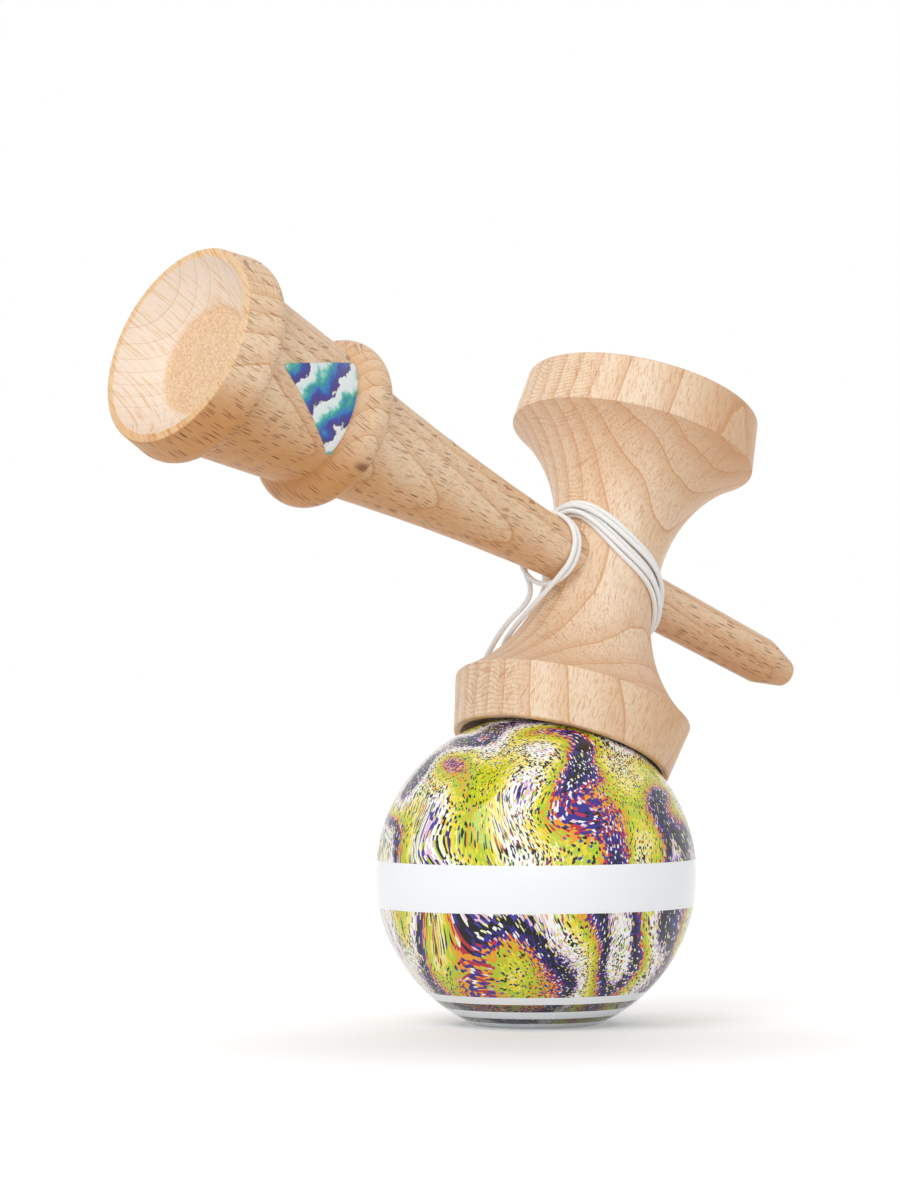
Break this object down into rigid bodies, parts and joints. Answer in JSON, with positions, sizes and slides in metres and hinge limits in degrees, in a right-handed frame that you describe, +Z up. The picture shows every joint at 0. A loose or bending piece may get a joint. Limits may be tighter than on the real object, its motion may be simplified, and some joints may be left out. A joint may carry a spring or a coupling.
{
  "type": "kendama",
  "caption": "Wooden cup-and-ball skill toy: a spindle with a spike and a crosspiece of two cups, resting on a drilled ball that a wound string ties to it.",
  "frame": {"origin": "centre of the ball's foot, on the surface that the toy stands on", "axes": "+Z up along the ball's bore, +X towards the side that the spike points to, +Y away from the viewer"},
  "size_m": [0.1588, 0.0617, 0.1428],
  "materials": {
    "tama_lacquer": "gloss lacquer",
    "beech": "satin",
    "bead_wood": "satin",
    "sticker": "satin",
    "string": "braided"
  },
  "bodies": {
    "tama": {"tama": "tama_lacquer"},
    "bead": {"tama_bead": "bead_wood", "bead_knot": "string", "string_bead_end": "string"},
    "sarado": {"sarado": "beech", "string_winding": "string", "string_lead": "string"},
    "ken": {"ken": "beech", "ken_sticker": "sticker", "ken_knot": "string", "string_ken_end": "string"}
  },
  "joints": [
    {"name": "bead_spin", "type": "hinge", "parent": "tama", "child": "bead", "pos_m": [0, 0, 0.045], "axis": [0, 0, 1], "continuous": true},
    {"name": "cup_lift", "type": "slide", "parent": "tama", "child": "sarado", "axis": [0.367, 0.0785, 0.9269], "range_m": [0, 0.04], "deforming": ["string_lead"]},
    {"name": "ken_pull", "type": "slide", "parent": "sarado", "child": "ken", "axis": [-0.9298, 0, 0.3681], "range_m": [0, 0.01], "deforming": ["string_ken_end"]}
  ]
}
